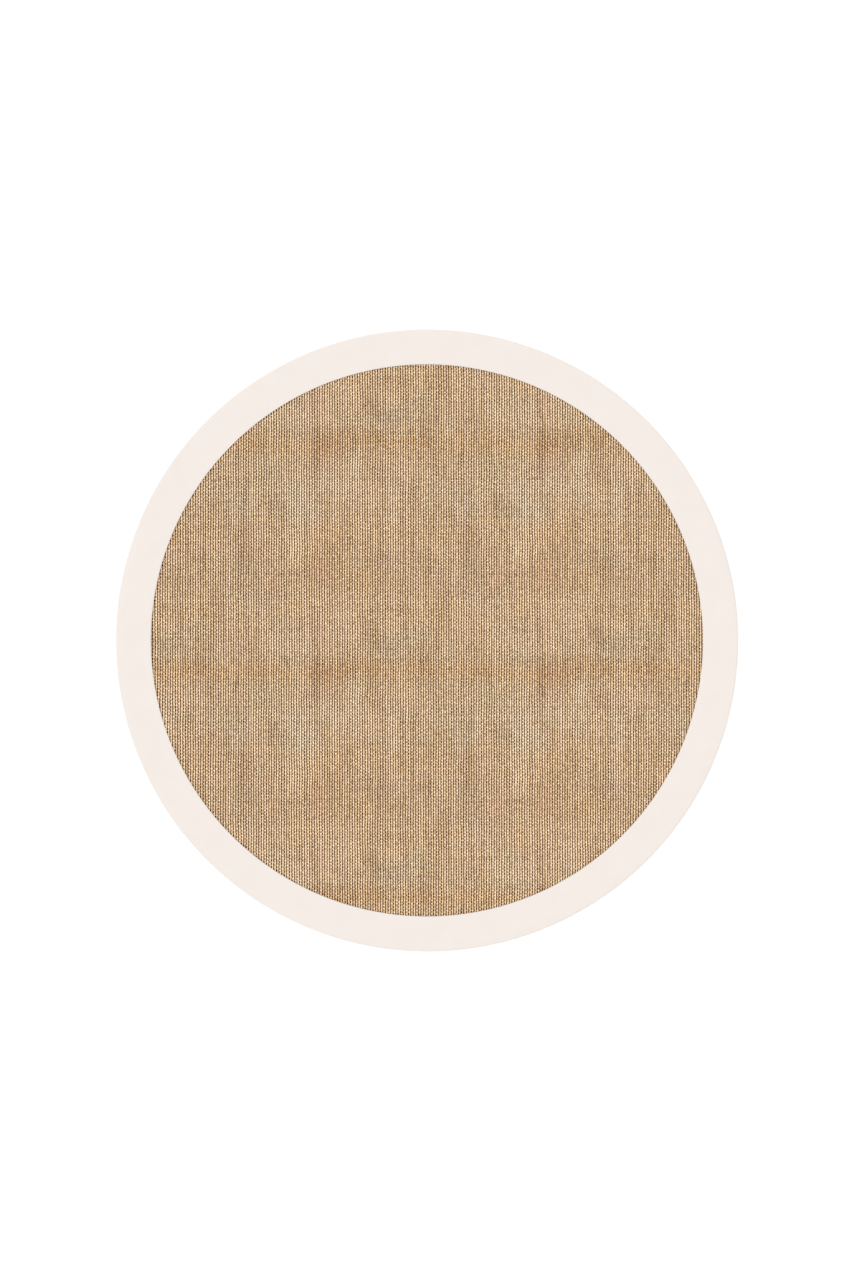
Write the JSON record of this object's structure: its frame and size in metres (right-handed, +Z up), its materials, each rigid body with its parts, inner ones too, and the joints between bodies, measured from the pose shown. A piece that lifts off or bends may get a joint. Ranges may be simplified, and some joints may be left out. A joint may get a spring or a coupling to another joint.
{
  "type": "round polyester rug",
  "caption": "Flat round rug: a jute-look plain-woven polyester field inside a wide plain cream cloth border that is folded round the rim.",
  "frame": {"origin": "middle of the underside, on the surface that the rug lies on", "axes": "+Z up out of the rug's face, Y along the warp (up in the picture), X along the weft"},
  "size_m": [1.2, 1.2, 0.0064],
  "materials": {
    "field_weave": "matt plain weave of thick jute-look polyester yarns in mixed straw and brown",
    "border_cloth": "matt fine plain-woven cream cloth"
  },
  "bodies": {
    "root": {"woven_field": "field_weave", "cream_border": "border_cloth"}
  },
  "joints": []
}
